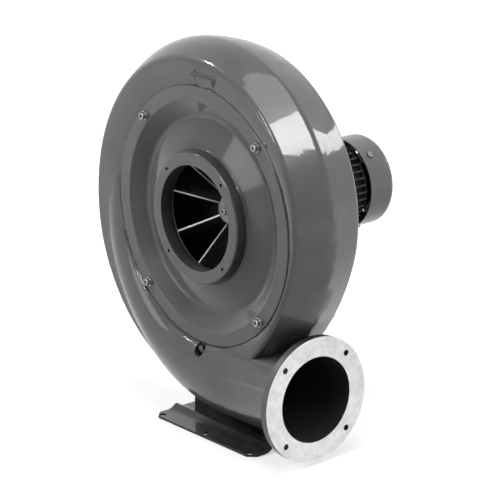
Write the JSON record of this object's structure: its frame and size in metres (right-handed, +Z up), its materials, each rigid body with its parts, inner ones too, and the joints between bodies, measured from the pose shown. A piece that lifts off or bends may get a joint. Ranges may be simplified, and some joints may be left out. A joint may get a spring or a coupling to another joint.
{
  "type": "centrifugal fan",
  "caption": "Radial blower: cast volute on a pressed base, dished inlet cover, round flanged outlet, bladed impeller and flange motor with fan cowl.",
  "frame": {"origin": "floor level, centre of the foot-hole pattern under the base plate", "axes": "+X out of the outlet, -Y out of the inlet, +Y towards the motor, +Z up"},
  "size_m": [0.3924, 0.2903, 0.4728],
  "materials": {
    "casing_paint": "gloss",
    "cover_paint": "gloss",
    "base_paint": "semi-gloss",
    "motor_paint": "satin",
    "cowl_paint": "satin",
    "zinc_steel": "bright zinc",
    "impeller_sheet": "matt galvanised",
    "hub_aluminium": "turned",
    "shaft_steel": "ground",
    "bearing_steel": "ground",
    "cage_brass": "pressed",
    "seal_rubber": "matt",
    "core_steel": "laminated",
    "winding_copper": "lacquered",
    "fan_plastic": "moulded",
    "terminal_plastic": "moulded",
    "gland_plastic": "moulded"
  },
  "bodies": {
    "housing": {"scroll_casing": "casing_paint", "back_plate": "casing_paint", "inlet_cover": "cover_paint", "base_plate": "base_paint", "motor_front_shield": "motor_paint", "stator_housing": "motor_paint", "motor_rear_shield": "motor_paint", "terminal_box": "motor_paint", "terminal_lid": "motor_paint", "fan_cowl": "cowl_paint", "cover_screws": "zinc_steel", "cover_washers": "zinc_steel", "crease_plug": "zinc_steel", "back_plate_bolts": "zinc_steel", "motor_flange_bolts": "zinc_steel", "cowl_screws": "zinc_steel", "terminal_lid_screws": "zinc_steel", "base_screws": "zinc_steel", "front_bearing_outer_ring": "bearing_steel", "rear_bearing_outer_ring": "bearing_steel", "wave_washer": "bearing_steel", "shaft_seal": "seal_rubber", "terminal_gasket": "seal_rubber", "stator_core": "core_steel", "stator_windings": "winding_copper", "terminal_block": "terminal_plastic", "cable_gland": "gland_plastic", "cable_gland_cap": "gland_plastic"},
    "rotor": {"impeller_shroud": "impeller_sheet", "impeller_backplate": "impeller_sheet", "impeller_blades": "impeller_sheet", "impeller_hub": "hub_aluminium", "impeller_rivets": "hub_aluminium", "hub_washer": "zinc_steel", "hub_screw": "zinc_steel", "shaft": "shaft_steel", "shaft_key": "shaft_steel", "front_bearing_inner_ring": "bearing_steel", "rear_bearing_inner_ring": "bearing_steel", "rotor_core": "core_steel", "cooling_fan": "fan_plastic"},
    "front_ball_set": {"front_bearing_balls": "bearing_steel", "front_bearing_cage": "cage_brass"},
    "rear_ball_set": {"rear_bearing_balls": "bearing_steel", "rear_bearing_cage": "cage_brass"}
  },
  "joints": [
    {"name": "rotor_spin", "type": "hinge", "parent": "housing", "child": "rotor", "pos_m": [0, 0, 0.27], "axis": [0, -1, 0], "continuous": true},
    {"name": "front_balls_roll", "type": "hinge", "parent": "housing", "child": "front_ball_set", "pos_m": [0, 0, 0.27], "axis": [0, -1, 0], "continuous": true},
    {"name": "rear_balls_roll", "type": "hinge", "parent": "housing", "child": "rear_ball_set", "pos_m": [0, 0, 0.27], "axis": [0, -1, 0], "continuous": true}
  ],
  "couplings": [
    {"joint": "front_balls_roll", "follows": "rotor_spin", "ratio": 0.38},
    {"joint": "rear_balls_roll", "follows": "rotor_spin", "ratio": 0.385}
  ]
}
